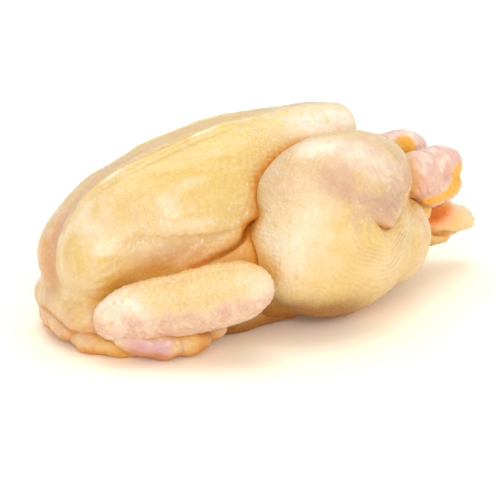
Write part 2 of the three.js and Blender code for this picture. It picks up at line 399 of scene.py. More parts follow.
def raw_skin(name, pore, pore_height, speckle, mauve=MAUVE):
    """Moist skin over flesh. Clouds of cream, gold and flesh colour lie lowest. The painted masks gold,
    under, pearl, flesh, mauve, fat, crease, fold and amber are laid over them in that order, then a
    speckle of paler dots on the pimples, which lie a pore apart, and then the mask deep. Of these,
    under, crease and deep are painted shade, fold is orange with painted shade in creases, and pearl
    is pale skin with painted highlights. Where flesh closes in over the skin, painted shade darkens
    its colour towards orange. Light goes a few millimetres in, and skin that lies open is coated wet."""
    material = bpy.data.materials.new(name)
    material.use_nodes = True
    tree = material.node_tree
    tree.nodes.clear()
    place = tree.nodes.new("ShaderNodeTexCoord")

    def noise(size, detail, seed):
        """A cloudy field with lumps of that many millimetres and finer ones on them, by detail."""
        shift = tree.nodes.new("ShaderNodeMapping")
        shift.inputs["Location"].default_value = (seed * 0.37, seed * 0.11, seed * 0.73)
        tree.links.new(place.outputs["Object"], shift.inputs["Vector"])
        cloud = tree.nodes.new("ShaderNodeTexNoise")
        tree.links.new(shift.outputs[0], cloud.inputs["Vector"])
        cloud.inputs["Scale"].default_value = 1 / (size * MM)
        cloud.inputs["Detail"].default_value = detail
        cloud.inputs["Roughness"].default_value = 0.6
        return cloud.outputs["Fac"]

    def eased(value, low, high, bottom=0.0, top=1.0):
        """The value eased from bottom at low to top at high."""
        ramp = tree.nodes.new("ShaderNodeMapRange")
        ramp.interpolation_type = "SMOOTHSTEP"
        tree.links.new(value, ramp.inputs["Value"])
        ramp.inputs["From Min"].default_value = low
        ramp.inputs["From Max"].default_value = high
        ramp.inputs["To Min"].default_value = bottom
        ramp.inputs["To Max"].default_value = top
        return ramp.outputs[0]

    def feed(value, socket):
        """Gives a socket another node's output, a plain number or a tint."""
        if isinstance(value, tuple):
            socket.default_value = (*value, 1)
        elif isinstance(value, float):
            socket.default_value = value
        else:
            tree.links.new(value, socket)

    def times(a, b):
        """One field times another, or times a plain number."""
        product = tree.nodes.new("ShaderNodeMath")
        product.operation = "MULTIPLY"
        feed(a, product.inputs[0])
        feed(b, product.inputs[1])
        return product.outputs[0]

    def mixed(share, under, tint, blend="MIX"):
        """The tint laid over the colour under it, by that share."""
        mix = tree.nodes.new("ShaderNodeMix")
        mix.data_type = "RGBA"
        mix.blend_type = blend
        feed(share, mix.inputs["Factor"])
        lower, upper = (s for s in mix.inputs if s.type == "RGBA")
        feed(under, lower)
        feed(tint, upper)
        return [s for s in mix.outputs if s.type == "RGBA"][0]

    def mask(painted):
        """The value of a painted mask, as the piece has stored it at its points."""
        stored = tree.nodes.new("ShaderNodeAttribute")
        stored.attribute_name = painted
        return stored.outputs["Fac"]

    def bumped(field, strength, height, below=None):
        """The shading normal over a field's bumps, that many millimetres high, on those below."""
        bump = tree.nodes.new("ShaderNodeBump")
        bump.inputs["Strength"].default_value = strength
        bump.inputs["Distance"].default_value = height * MM
        feed(field, bump.inputs["Height"])
        if below is not None:
            feed(below, bump.inputs["Normal"])
        return bump.outputs[0]

    cells = tree.nodes.new("ShaderNodeTexVoronoi")
    cells.feature = "SMOOTH_F1"
    cells.inputs["Smoothness"].default_value = 0.35
    cells.inputs["Scale"].default_value = 1 / (pore * MM)
    tree.links.new(place.outputs["Object"], cells.inputs["Vector"])
    pimple = eased(cells.outputs["Distance"], 0.0, 0.7, 1.0, 0.0)

    colour = mixed(eased(noise(17, 3, 1), 0.40, 0.64, 0.0, 0.75), CREAM, GOLD)
    colour = mixed(eased(noise(6, 4, 2), 0.56, 0.80, 0.0, 0.35), colour, FLESH)
    colour = mixed(times(mask("gold"), eased(noise(6, 3, 3), 0.15, 0.55)), colour, GOLD)
    # Painted shade, olive, on the undersides, from the mask under.
    colour = mixed(times(mask("under"), eased(noise(9, 3, 4), 0.1, 0.6, 0.5, 1.0)), colour, OLIVE)
    # Pale skin together with painted highlights.
    colour = mixed(times(mask("pearl"), eased(noise(5, 2, 5), 0.15, 0.5)), colour, PEARL)
    colour = mixed(times(mask("flesh"), eased(noise(8, 4, 6), 0.28, 0.62)), colour, FLESH)
    colour = mixed(times(mask("mauve"), eased(noise(8, 3, 11), 0.1, 0.6)), colour, mauve)
    colour = mixed(times(mask("fat"), eased(noise(3.4, 3, 7), 0.53, 0.62)), colour, YELLOW_FAT)
    # Painted shade, mauve, in the furrows of the relief.
    colour = mixed(mask("crease"), colour, MAUVE)
    # Orange, much of it painted shade in creases and where parts press together.
    colour = mixed(times(mask("fold"), eased(noise(5, 2, 8), 0.0, 0.5, 0.4, 1.0)), colour, ORANGE)
    colour = mixed(mask("amber"), colour, AMBER)
    colour = mixed(times(pimple, speckle), colour, PEARL)
    # Painted shade, darkest, in narrow creases and along the table.
    colour = mixed(mask("deep"), colour, DEEP)
    # Painted shade, darker and more orange, where flesh closes in over the skin.
    colour = mixed(mask("sheltered"), colour, SHELTERED, "MULTIPLY")

    shader = tree.nodes.new("ShaderNodeBsdfPrincipled")
    tree.links.new(colour, shader.inputs["Base Color"])
    shader.inputs["Subsurface Weight"].default_value = 0.30
    shader.inputs["Subsurface Radius"].default_value = (1.0, 0.60, 0.25)
    shader.inputs["Subsurface Scale"].default_value = 0.004
    shader.inputs["Specular IOR Level"].default_value = 0.15
    # Less wet coat where that painted shade lies.
    tree.links.new(eased(mask("sheltered"), 0.0, 0.8, 0.5, 0.0), shader.inputs["Coat Weight"])
    shader.inputs["Coat Roughness"].default_value = 0.15
    tree.links.new(eased(noise(7, 3, 9), 0.3, 0.7, 0.32, 0.52), shader.inputs["Roughness"])

    normal = bumped(noise(1.7, 4, 10), 0.7, 0.16, below=bumped(pimple, 0.8, pore_height))
    tree.links.new(normal, shader.inputs["Normal"])
    tree.links.new(normal, shader.inputs["Coat Normal"])

    out = tree.nodes.new("ShaderNodeOutputMaterial")
    tree.links.new(shader.outputs[0], out.inputs["Surface"])
    return material


# Lines on the trunk's skin, as paths along its middle and over its near side.
KEEL = [
    (-152, 0, 36),
    (-148, 0, 56),
    (-140, 0, 74),
    (-124, 0, 91),
    (-104, 0, 102),
    (-80, 0, 110),
    (-50, 0, 117),
    (-20, 0, 121),
    (16, 0, 122),
    (44, 0, 120),
]
KEEL_RIDGE = [
    (-150, -19, 48),
    (-148, -17, 62),
    (-142, -13, 74),
    (-130, -9, 87),
    (-112, -12, 98),
    (-91, -13, 105),
    (-63, -12, 114),
    (-32, -11, 119),
    (0, -8, 121),
]
PECTORAL_FOLD = [
    (-128, -40, 60),
    (-115, -43, 69),
    (-99, -47, 68),
    (-79, -51, 67),
    (-61, -53, 68),
    (-44, -54, 72),
]
FLANK_CREASE = [(-88, -55, 50), (-76, -56, 55), (-64, -56, 60), (-54, -57, 65), (-45, -58, 70)]
SLIT_EDGE = [(-154, 2, 20), (-153, -10, 18), (-150, -22, 14), (-145, -31, 11), (-140, -38, 12)]
CREASE_OUTSIDE = -36  # the flank crease marks only skin further to the side than this
OUT_OF_REACH = 99  # a distance at which a line marks nothing
WEB_PLEATS = 26  # as many as there would be in a whole turn about the crook of the web

# Places on the trunk's skin: the middle and the size of a soft oval patch.
BREAST_TOP = ((-46, -26, 106), (68, 28, 22))
BREAST_SIDE = ((-50, -30, 84), (40, 30, 24))
BREAST_END = ((30, -24, 113), (36, 18, 18))
KEEL_FAT = ((-24, -14, 118), (46, 16, 12))
SIDE_FAT = ((-90, -45, 80), (50, 20, 30))
SHOULDER = ((-110, -38, 76), (24, 16, 16))
FAR_SHOULDER = ((-126, 24, 66), (26, 18, 34))
FRONT = ((-138, -34, 50), (14, 18, 22))
NECK = ((-148, -28, 18), (14, 18, 12))
NECK_HOLLOW = ((-150, 2, 46), (14, 10, 24))
WEB = ((-58, -62, 57), (17, 14, 11))
WEB_SLOT = ((-47, -58, 60), (6, 14, 10))
# Painted shade on the skin that the breast overhangs below its fold.
OVERHANG = ((-84, -50, 57), (42, 18, 10))

# The legs and forewings press on the trunk's skin, so their forms are needed here already.
THIGH = [
    (74, -28, 38, 26, 28),
    (42, -43, 36, 30, 30),
    (6, -54, 39, 31, 35),
    (-24, -58, 54, 28, 33),
    (-46, -57, 68, 20, 25),
]
DRUMSTICK = [
    (-43, -56, 77, 20, 25),
    (-15, -57, 84, 26, 31),
    (18, -51, 86, 27, 30),
    (46, -43, 81, 21, 26),
    (64, -35, 75, 15, 21),
    (80, -26, 72, 12, 16),
]
LEG_SKIN = [
    (-47, -60, 58, 20, 33),
    (-16, -64, 58, 25, 42),
    (18, -58, 55, 27, 41),
    (46, -50, 47, 23, 32),
    (72, -42, 44, 16, 25),
]
FOREWING = [
    (-143, -44, 23, 8, 13),
    (-125, -52, 27, 11, 18),
    (-97, -67, 34, 12, 18),
    (-69, -81, 41, 12, 18),
    (-53, -89, 45, 9, 14),
]
FAR_LEG_DROP = 8  # the far drumstick lies this much lower than the near one

far_breast = on_side("far", BREAST, tuck=FAR_BREAST_TUCK)
far_breast[:, 2] += np.linspace(*FAR_BREAST_LEAN, len(far_breast))
trunk_forms = [
    fleshy_form(RIBCAGE, 2.6),
    fleshy_form(BREAST, 2.8),
    fleshy_form(far_breast, 2.8),
    fleshy_form(KEEL_TIP, 5.0),
    fleshy_form(NECK_SKIN, 3.0),
]
for side in ("near", "far"):
    for stations in (UPPER_WING, WING_WEB):
        trunk_forms.append(fleshy_form(on_side(side, stations, tuck=FAR_WING_TUCK), 3.0))
    trunk_forms.append(fleshy_form(on_side(side, BACK_SKIN), 3.0))

# From here on p holds a skin's points, n its outward directions, and near the points as they would
# lie on the near side, so that both sides are worked alike.
trunk = skin_over("trunk_skin", trunk_forms, 2.4, 6)
p = points_of(trunk)
n = outward(trunk)
near = p.copy()
near[:, 1] = -np.abs(p[:, 1])

leg_gap = np.minimum.reduce(
    [gap_to(near, THIGH, 2.8), gap_to(near, DRUMSTICK, 2.8), gap_to(near, LEG_SKIN, 2.6)]
)
wing_gap = gap_to(near, FOREWING, 3.2)

# The skin is raised and sunk by a relief in millimetres. The keel is a shallow trough with a sharp
# ridge of drawn skin along each side.
keel_away, _, keel_share = along_path(p, KEEL)
relief = -1.2 * bell(keel_away, 6) * (0.5 + 0.5 * rise(keel_share, 0.0, 0.25))
relief *= 1 - rise(keel_share, 0.75, 1.0)
ridge_away, _, ridge_share = along_path(near, KEEL_RIDGE)
ridge_fade = (0.25 + 0.75 * rise(ridge_share, 0.2, 0.45)) * (1 - rise(ridge_share, 0.85, 1.0))
ridge = ridge_fade * bell(ridge_away + 0.4 * mottle(p, 6, 10), 1.4)
relief += 1.2 * ridge - 0.7 * ridge_fade * bell(ridge_away - 4.5, 2.2)

# The soft fold under the breast muscle, and the deep crease where it overhangs the wing's web.
fold_away, fold_side, fold_share = along_path(near, PECTORAL_FOLD)
fold_fade = rise(fold_share, 0.0, 0.25)
relief += fold_fade * np.where(fold_side > 0, 0.5, -0.5) * bell(fold_away, 7)
relief -= (0.10 + 0.30 * rise(fold_share, 0.75, 1.0)) * fold_fade * bell(fold_away, 1.6)
flank_away, flank_side, flank_share = along_path(side_view(near), side_view(FLANK_CREASE))
flank_away = np.where(near[:, 1] < CREASE_OUTSIDE, flank_away, OUT_OF_REACH)
relief += np.where(flank_side > 0, 1.0, -1.2) * rise(flank_share, 0.0, 0.3) * bell(flank_away, 6)
relief -= (1.5 + 2.0 * flank_share) * bell(flank_away, 1.5)
slit_away, _, _ = along_path(near, SLIT_EDGE)

# Rows of pimples crossing each other where the skin is stretched to the leg, a fan of pleats in the
# wing's web, creases running down to the neck, and pimples everywhere, with soft lumps under all.
rows_a = waves(near[:, 0] * 0.80 + near[:, 2] * 0.60 + 2.2 * mottle(p, 12, 3), 4.8)
rows_b = waves(near[:, 0] * 0.35 - near[:, 2] * 0.94 + 2.2 * mottle(p, 12, 4), 4.4)
stretched = bell(np.maximum(leg_gap - 2, 0), 22)
stretched *= rise(near[:, 2], 60, 74)
stretched *= rise(near[:, 2], 114, 98)
lattice = stretched * (rows_a * rows_b + 0.15 * rows_b) * (0.65 + 0.35 * mottle(p, 7, 7))
relief += 0.55 * lattice
web = patch(near, *WEB)
crook = near - np.array(FLANK_CREASE[-1])
strands = np.sin(np.arctan2(crook[:, 2], crook[:, 0]) * WEB_PLEATS + 2.0 * mottle(p, 7, 5))
pleats = web * strands * (0.6 + 0.4 * mottle(p, 5, 9))
relief += 0.3 * pleats
slope = near[:, 0] * 0.42 - near[:, 2] * 0.90
relief += 0.25 * patch(near, *FRONT) * waves(slope + 2.5 * mottle(p, 12, 6), 5.0)
neck = patch(near, *NECK)
relief += 0.4 * neck * waves(near[:, 1] + near[:, 2] * 0.5 + 2.5 * mottle(p, 10, 7), 8.5)
hollow = patch(p, *NECK_HOLLOW)
pebbles = pimples(near * (0.8, 1, 1), 3.3, 8)
pebbled = np.clip(1 - web - hollow - 0.8 * rise(near[:, 2], 92, 110), 0, 1)
relief += 0.16 * (pebbles - 0.5) * pebbled
relief += 0.15 * mottle(near * (0.25, 1, 1), 3.0, 9) * rise(near[:, 2], 70, 105)
relief += 0.8 * mottle(p, 18, 1) + 0.4 * mottle(p, 8, 2)
put_points(trunk, p + n * relief[:, None])

# How far the skin faces down: painted shade goes on skin that does.
down = rise(-n[:, 2], -0.25, 0.75)
# Painted shade, mauve and orange, on the skin below the pectoral fold.
overhang = patch(near, *OVERHANG) * (fold_side < 0)
piece(
    trunk,
    raw_skin("breast_skin", 2.6, 0.25, 0.12),
    gold=1.4 * patch(near, *BREAST_TOP)
    + 0.6 * patch(near, *BREAST_SIDE)
    + 0.6 * web
    + 0.6 * rise(mottle(near * (0.4, 1, 1), 13, 61), 0.0, 0.8),
    # Painted shade: olive on skin that faces down and on low skin near the table.
    under=0.35 * down * rise(near[:, 2], 90, 30)
    + 0.45 * rise(near[:, 0], -90, -60) * rise(near[:, 2], 30, 10),
    # Pale skin with painted light: a painted highlight along the keel ridge, the lit end of the breast
    # painted paler, and pale mottling kept off skin that faces down.
    pearl=1.1 * ridge * rise(mottle(p, 15, 63), -0.6, 0.5)
    + 1.6 * patch(p, *BREAST_END)
    + 0.5 * rise(mottle(near * (0.5, 1, 1), 10, 62), 0.15, 0.8) * (1 - down),
    flesh=0.75 * bell(keel_away, 7) * (1 - 0.7 * keel_share)
    + 0.7 * hollow
    + 0.6 * neck
    + 0.35 * patch(near, *SHOULDER),
    # Mauve in the neck hollow, at the far shoulder and along the keel, and mauve painted shade on the
    # overhang.
    mauve=0.4 * hollow
    + 0.45 * patch(p, *FAR_SHOULDER)
    + 0.45 * bell(keel_away, 5) * (1 - 0.7 * keel_share)
    + 0.55 * overhang,
    fat=0.9 * patch(p, *KEEL_FAT) + 0.25 * patch(near, *SIDE_FAT),
    # Painted shade in the furrows: between the lattice rows, between the web's pleats and between the
    # pimples.
    crease=0.35 * np.clip(-lattice, 0, 1)
    + 0.25 * np.clip(-pleats, 0, 1)
    + 0.12 * (1 - pebbles),
    # Orange painted shade where the leg and forewing press on the skin, along the flank crease, the
    # pectoral fold line, the slit and the overhang; orange also on the neck, its hollow and the web's
    # strands.
    fold=0.75 * bell(np.maximum(leg_gap, 0), 4.5)
    + 0.30 * bell(np.maximum(leg_gap, 0), 13)
    + 0.35 * bell(np.maximum(wing_gap, 0), 5)
    + 0.6 * bell(flank_away, 3.5)
    + (0.08 + 0.3 * rise(fold_share, 0.75, 1.0)) * fold_fade * bell(fold_away, 1.8)
    + 0.30 * overhang
    + 0.80 * bell(slit_away, 1.8)
    + 0.25 * neck
    + (0.15 + 0.25 * strands) * web
    + 0.45 * hollow,
    # Painted shade, darkest: in the flank crease, high where the leg meets the breast, in the slit and
    # the web's slot, and on low skin near the table.
    deep=0.6 * bell(flank_away, 1.4) * rise(flank_share, 0.0, 0.5)
    + 0.35 * bell(np.maximum(leg_gap, 0), 2.2) * rise(near[:, 2], 90, 70)
    + 0.45 * bell(slit_away, 1.4)
    + 0.35 * patch(near, *WEB_SLOT)
    + 0.5 * rise(near[:, 2], 24, 8) * rise(near[:, 0], -80, -55),
)

# ---------------------------------------------------------------------------- neck folds
# Below its cut edge the loose skin of the neck is tucked under the bird in soft lobes, one beside the
# other round the front, each bulging a little where it is pressed on the table.

NECK_FOLDS = [
    [(-146, 8, 15, 6, 9), (-147, -6, 13, 7, 9), (-143, -21, 9, 6, 8)],
    [(-144, -12, 7, 5, 6), (-140, -26, 7, 7, 8), (-131, -40, 7, 6, 7)],
    [(-140, -28, 6, 4, 5), (-131, -40, 7, 7, 7), (-117, -49, 6, 5, 6)],
    [(-136, -34, 7, 5, 6), (-119, -47, 8, 7, 8), (-98, -53, 8, 6, 7)],
]
# How much of the flesh, gold and orange colours each lobe has.
FOLD_TINTS = [(0.8, 0.0, 0.2), (0.7, 0.0, 0.1), (0.3, 0.2, 0.0), (0.3, 0.1, 0.1)]
fold_skin = raw_skin("neck_skin", 2.4, 0.3, 0.08)
for side in ("near", "far"):
    for number, (stations, (flesh, gold, fold)) in enumerate(zip(NECK_FOLDS, FOLD_TINTS), 1):
        form = fleshy_form(on_side(side, stations), 2.6)
        lobe = skin_over(f"{side}_neck_fold_{number}", [form], 1.1, 3)
        p = points_of(lobe)
        n = outward(lobe)
        relief = 1.3 * mottle(p, 8, 51 + number) + 0.4 * mottle(p, 4, 52)
        put_points(lobe, p + n * relief[:, None])
        blush = 0.4 * rise(mottle(p, 9, 56), 0.3, 0.9)
        piece(lobe, fold_skin, flesh=flesh, gold=gold, fold=fold + blush)

# ---------------------------------------------------------------------------- legs
# Each leg is folded: the thigh runs forward from the hip, the drumstick lies back along it, and the
# skin over both is drawn tight round the knee. In the crook it hangs over itself as a blunt flap.

SKIN_POUCH = [
    (15, -56, 78, 18, 20),
    (40, -53, 70, 15, 22),
    (58, -46, 64, 10, 20),
    (68, -40, 66, 8, 14),
]
RUMP_ROLL = [
    (44, -40, 23, 21, 20),
    (65, -39, 27, 19, 19),
    (79, -36, 38, 12, 17),
    (79, -34, 52, 10, 12),
    (70, -34, 61, 8, 8),
]
HIP_SKIN = [
    (50, -46, 63, 12, 12),
    (63, -44, 51, 14, 18),
    (62, -49, 36, 14, 15),
    (50, -50, 22, 14, 14),
]
UNDER_LEG = [
    (-50, -43, 16, 9, 10),
    (-28, -50, 18, 11, 11),
    (2, -54, 19, 12, 11),
    (30, -52, 18, 12, 12),
    (58, -46, 17, 12, 13),
]
FLAP_EDGE = [
    (-8, -82, 92),
    (4, -84, 83),
    (15, -85, 72),
    (23, -84, 66),
    (31, -80, 62),
    (38, -74, 65),
    (47, -66, 70),
    (55, -61, 74),
]
FLAP_TIP = (32, -80, 61)
PEARL_BAND = [(-14, -62, 114), (6, -70, 110), (22, -73, 104), (38, -71, 93), (48, -67, 84)]
MAUVE_BAND = [(-9, -79, 97), (2, -81, 87), (11, -84, 77), (21, -84, 68), (30, -82, 64)]
FLAP_REACH = 75  # how far from the flap's edge distances to it are measured
FLAP_OUTSIDE = -42  # the flap's edge marks only skin further to the side than this
LEG_OUTSIDE = -45  # and its mauve tints only skin further to the side than this
FAN_PLEATS = 17  # as many as there would be in a whole turn about the flap's tip
CROSSWISE = (0, 1, 0)  # stands in for up where a form itself runs upward
FAR_LEG_TOP = 80  # the far leg's skin is lowered by the whole drop from this height upward

# Places on a leg's skin.
DRUMSTICK_TOP = ((20, -66, 102), (34, 26, 16))
DRUMSTICK_END = ((40, -64, 86), (14, 14, 14))
KNEE = ((-36, -76, 62), (22, 26, 28))
KNEE_TOP = ((-32, -64, 98), (20, 18, 18))
THIGH_SIDE = ((-2, -75, 28), (60, 40, 20))
UNDER_THIGH = ((-22, -56, 8), (30, 26, 11))
HIP_END = ((74, -50, 46), (9, 16, 24))
HIP_TUCK = ((64, -54, 64), (10, 12, 7))
FLAP_ROOT = ((2, -82, 88), (9, 12, 8))
FLAP_FOLDS = ((32, -72, 84), (20, 20, 18))
FLAP_FAT = ((12, -84, 60), (26, 16, 16))
UNDER_FLAP = ((26, -82, 50), (26, 20, 24))
WRINKLES = ((30, -76, 40), (38, 34, 24))
WRINKLE_SHEEN = ((30, -80, 40), (26, 20, 14))
FAN = ((43, -73, 60), (10, 20, 9))
leg_material = raw_skin("leg_skin", 2.1, 0.3, 0.10)


def as_near(points, side):
    """The points of a piece on that side as if it were the near one: y changes its sign on the far."""
    return points * (1, 1 if side == "near" else -1, 1)


for side in ("near", "far"):
    leg = skin_over(
        f"{side}_leg",
        [
            fleshy_form(on_side(side, THIGH), 2.8),
            fleshy_form(on_side(side, DRUMSTICK, FAR_LEG_DROP), 2.8),
            fleshy_form(on_side(side, LEG_SKIN, FAR_LEG_DROP / 2), 2.6),
            fleshy_form(on_side(side, SKIN_POUCH, FAR_LEG_DROP), 2.4),
            fleshy_form(on_side(side, RUMP_ROLL), 2.6, up=CROSSWISE),
            fleshy_form(on_side(side, HIP_SKIN), 2.6, up=CROSSWISE),
            fleshy_form(on_side(side, UNDER_LEG), 2.8),
        ],
        1.7,
        12,
    )
    p = points_of(leg)
    n = outward(leg)
    near = as_near(p, side)
    if side == "far":
        near[:, 2] += FAR_LEG_DROP * np.clip(near[:, 2] / FAR_LEG_TOP, 0, 1)
    edge_away, edge_side, edge_share = along_path(side_view(near), side_view(FLAP_EDGE), FLAP_REACH)
    edge_away = np.where(near[:, 1] < FLAP_OUTSIDE, edge_away, OUT_OF_REACH)
    sharp = rise(edge_share, 0.25, 0.55) * (1 - 0.5 * rise(edge_share, 0.8, 1.0))
    flap = edge_side > 0
    relief = sharp * np.where(flap, 2.2 * bell(edge_away, 9), -2.4 * bell(edge_away, 7))
    relief -= 1.6 * sharp * bell(edge_away, 1.3)

    # Fine wrinkles lie round the flap, short pleats fan out from its tip, and the flap itself is
    # drawn into long soft folds that run down to the tip.
    below = patch(near, *WRINKLES) * rise(edge_away, 4, 12) * ~flap
    ripple = waves(edge_away + 3.2 * mottle(p, 13, 13) + 0.5 * mottle(p, 5, 20), 3.4)
    ripple *= below * np.clip(0.45 + 0.9 * mottle(p, 12, 14), 0, 1)
    relief += 0.5 * ripple
    tip = near - np.array(FLAP_TIP)
    turn = np.arctan2(tip[:, 2], tip[:, 0])
    fan = patch(near, *FAN) * ~flap
    fan *= np.sin(turn * FAN_PLEATS + 1.5 * mottle(p, 7, 15))
    relief += 0.28 * fan
    pearl_away, _, _ = along_path(near, PEARL_BAND)
    mauve_away, _, _ = along_path(near, MAUVE_BAND)
    pucker = patch(near, *FLAP_FOLDS) * flap
    pucker *= waves(mauve_away + 2.0 * mottle(p, 9, 18), 4.2) * (0.5 + 0.5 * mottle(p, 6, 17))
    relief += 0.45 * pucker
    relief += 0.8 * mottle(p, 20, 11) + 0.4 * mottle(p, 9, 12)
    pebbles = pimples(p, 2.6, 16)
    relief += 0.22 * (pebbles - 0.5)
    put_points(leg, p + n * relief[:, None])

    at_breast = bell(np.maximum(gap_to(near, BREAST, 2.8), 0), 4)
    flap_or_root = np.where(flap, 1, rise(edge_share, 0.45, 0.2))
    outside = near[:, 1] < LEG_OUTSIDE
    piece(
        leg,
        leg_material,
        gold=0.9 * patch(near, *THIGH_SIDE) + 0.7 * patch(near, *UNDER_FLAP),
        # Painted shade: olive on the leg's low skin near the table and where it faces down.
        under=1.3 * rise(near[:, 2], 34, 10) * rise(near[:, 0], 30, -10)
        + 0.1 * rise(-n[:, 2], 0.15, 0.9),
        # Pale skin along a band and at the knee, with a painted highlight along the flap's edge and a
        # painted sheen over the wrinkles.
        pearl=0.8 * rise(pearl_away + 3.5 * mottle(p, 9, 19), 14, 3)
        + 0.8 * patch(near, *KNEE) * (0.7 + 0.4 * mottle(p, 12, 24))
        + 0.6 * bell(np.where(flap, edge_away, OUT_OF_REACH) - 2.0, 1.5) * rise(edge_share, 0.3, 0.5)
        + 0.35 * patch(near, *WRINKLE_SHEEN),
        flesh=0.75 * patch(near, *DRUMSTICK_TOP)
        + 0.8 * patch(near, *FLAP_ROOT)
        + 0.6 * patch(near, *HIP_END),
        # Mauve skin on the flap and its root, partly painted shade over the flap's facet.
        mauve=0.7 * rise(mauve_away + 4 * mottle(p, 11, 22), 17, 2) * flap_or_root
        + 0.5 * patch(near, *KNEE_TOP)
        + 0.95 * flap * rise(edge_away, 38, 6) * rise(edge_share, 0.1, 0.4) * outside,
        fat=0.35 * patch(near, *DRUMSTICK_END)
        + 0.3 * patch(near, *FLAP_FAT)
        + 0.5 * ~flap * bell(edge_away - 5, 5) * rise(edge_share, 0.0, 0.3) * rise(edge_share, 0.8, 0.6),
        # Painted shade in the furrows of the wrinkles, fan pleats and puckers, and between the pimples.
        crease=1.0 * np.clip(-ripple, 0, 1)
        + 0.4 * np.clip(-fan, 0, 1)
        + 0.5 * np.clip(-pucker, 0, 1)
        + 0.08 * (1 - pebbles),
        # Orange painted shade where the leg meets the breast, along and below the flap's edge, in the
        # hip's tuck and under the thigh by the table.
        fold=0.6 * at_breast
        + 0.9 * bell(edge_away, 1.6) * sharp
        + 0.25 * np.where(flap, 0, bell(edge_away, 7)) * rise(edge_share, 0.55, 0.75)
        + 0.6 * patch(near, *HIP_TUCK)
        + 0.3 * patch(near, *UNDER_THIGH),
        # Painted shade, darkest: low on the leg near the table and in the crease under the flap's edge.
        deep=0.85 * rise(near[:, 2], 26, 11) * rise(near[:, 0], 36, -4)
        + 0.45 * bell(np.where(flap, OUT_OF_REACH, edge_away), 1.7) * sharp,
    )

# ---------------------------------------------------------------------------- wings
# The forewing is folded back along the trunk with its elbow up, and the wing tip is tucked in under
# it. Their skin is thick with feather pits, yellow above where it is fat and pink below.

WING_TIP = [
    (-134, -50, 15, 7, 7),
    (-118, -55, 12, 10, 9),
    (-104, -60, 10, 11, 9),
    (-93, -61, 10, 9, 8),
]
WING_END = [
    (-107, -58, 11, 8, 9),
    (-96, -62, 10, 10, 9),
    (-86, -63, 9, 8, 8),
    (-78, -63, 8, 4, 5),
]
WING_FLAP = [
    (-92, -53, 14, 7, 9),
    (-78, -56, 13, 9, 10),
    (-67, -56, 16, 6, 8),
]
FAR_WING_SHIFT = 7  # the far forewing is folded this much further back

# Places on a wing's skin.
# A painted highlight on the wrist end of the forewing.
WRIST = ((-134, -57, 30), (16, 16, 14))
WRIST_FRONT = ((-138, -52, 26), (14, 14, 14))
ELBOW = ((-62, -96, 44), (16, 10, 14))
TIP_FRONT = ((-117, -60, 8), (15, 16, 10))
TIP_SIDE = ((-99, -68, 12), (9, 14, 9))
TIP_FAT = ((-101, -68, 14), (9, 14, 6))
# Painted shade where the wing tip is tucked down to the table.
TIP_TUCK = ((-88, -70, 7), (5, 10, 9))
END_SIDE = ((-82, -66, 14), (8, 10, 5))
END_TOP = ((-86, -62, 16), (8, 12, 6))
wing_material = raw_skin("wing_skin", 2.3, 0.3, 0.18)
tip_material = raw_skin("wing_tip_skin", 2.2, 0.2, 0.06, mauve=(0.54, 0.31, 0.33))

for side in ("near", "far"):
    rows = on_side(side, FOREWING, tuck=FAR_WING_TUCK)
    if side == "far":
        rows[:, 0] += FAR_WING_SHIFT
    forewing = skin_over(f"{side}_forewing", [fleshy_form(rows, 3.2)], 1.3, 5)
    p = points_of(forewing)
    n = outward(forewing)
    near = as_near(p, side)
    pebbles = pimples(p, 2.7, 23) ** 2
    relief = 0.8 * mottle(p, 15, 21) + 0.3 * mottle(p, 7, 22) + 0.42 * (pebbles - 0.3)
    put_points(forewing, p + n * relief[:, None])

    # The colour changes at a line along the middle of the forewing, which climbs to the elbow.
    middle_x, _, middle_z, _, _ = FOREWING[2]
    above = near[:, 2] - middle_z - 0.20 * (near[:, 0] - middle_x)
    upper = rise(above + 3 * mottle(p, 12, 24), -5, 6)
    piece(
        forewing,
        wing_material,
        gold=0.45 * upper,
        # Painted shade: olive where the forewing faces down.
        under=0.3 * rise(-n[:, 2], 0.3, 0.9),
        # Pale skin on the lower half and at the elbow, and a painted highlight at the wrist.
        pearl=0.65 * (1 - upper) + 1.8 * patch(near, *WRIST) + 0.7 * patch(near, *ELBOW),
        flesh=0.9 * (1 - upper) + 0.5 * patch(near, *WRIST_FRONT) + 0.05,
        mauve=0.4 * (1 - upper),
        fat=0.25 * upper,
        # Painted shade between the pimples.
        crease=0.16 * (1 - pebbles),
        fold=0.30 * rise(n[:, 2], 0.55, 0.95),
    )

    for name, stations in (("wing_tip", WING_TIP), ("wing_end", WING_END), ("wing_flap", WING_FLAP)):
        form = fleshy_form(on_side(side, stations, tuck=FAR_WING_TUCK), 3.0)
        joint = skin_over(f"{side}_{name}", [form], 1.2, 3)
        p = points_of(joint)
        n = outward(joint)
        near = as_near(p, side)
        relief = 1.3 * mottle(p, 8, 25) + 0.35 * mottle(p, 3.5, 27)
        put_points(joint, p + n * relief[:, None])
        piece(
            joint,
            tip_material,
            gold=1.1 * patch(near, *TIP_SIDE) + 0.6 * patch(near, *END_SIDE),
            flesh=0.45,
            mauve=1.5 * patch(near, *TIP_FRONT) + 0.9 * patch(near, *END_TOP),
            fat=0.6 * patch(near, *TIP_FAT),
            # Orange painted shade where the wing tip is tucked and where it faces down.
            fold=1.0 * patch(near, *TIP_TUCK) + 0.15 * rise(-n[:, 2], 0.0, 0.7),
        )

# ---------------------------------------------------------------------------- hocks
# Where the feet were cut off, the knob of each hock joint sticks out of the leg's skin: pink gristle,
# ridged and puckered, with a strip of the foot's own scaly orange skin left along its lower end.

